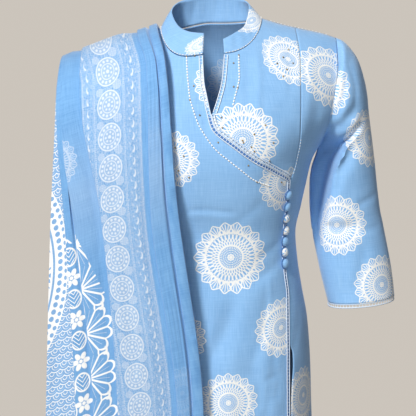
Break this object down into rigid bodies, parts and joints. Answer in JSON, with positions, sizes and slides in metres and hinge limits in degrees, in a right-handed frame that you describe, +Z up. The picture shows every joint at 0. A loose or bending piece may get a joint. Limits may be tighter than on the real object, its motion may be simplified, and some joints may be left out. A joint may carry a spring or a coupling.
{
  "type": "salwar kameez suit",
  "caption": "Worn cotton kameez with band collar, neck slit, diagonal overlap, side buttons, side slit and three-quarter sleeves, over a gathered salwar, with a pleated dupatta on one shoulder.",
  "frame": {"origin": "level of the shoulders, on the centre line, where the wearer's shoulders hold the suit up", "axes": "+Z up, -Y the way the wearer faces, +X the wearer's left"},
  "size_m": [0.5043, 0.3024, 1.427],
  "materials": {
    "kameez_cotton": "matte printed cotton",
    "button_cloth": "cloth-covered",
    "lace": "cotton lace",
    "salwar_cotton": "matte plain cotton",
    "dupatta_cotton": "thin printed cotton"
  },
  "bodies": {
    "root": {"front_main_panel": "kameez_cotton", "left_chest_panel": "kameez_cotton", "left_side_panel": "kameez_cotton", "back_panel": "kameez_cotton", "sleeve_left": "kameez_cotton", "sleeve_right": "kameez_cotton", "collar": "kameez_cotton", "button_1": "button_cloth", "button_2": "button_cloth", "button_3": "button_cloth", "button_4": "button_cloth", "button_5": "button_cloth", "button_6": "button_cloth", "button_7": "button_cloth", "lace_front_edge": "lace", "lace_neck_slit": "lace", "lace_cuff_left": "lace", "lace_cuff_right": "lace", "salwar_hip_band": "salwar_cotton", "salwar_leg_left": "salwar_cotton", "salwar_leg_right": "salwar_cotton", "salwar_cuff_left": "salwar_cotton", "salwar_cuff_right": "salwar_cotton", "dupatta": "dupatta_cotton"}
  },
  "joints": []
}
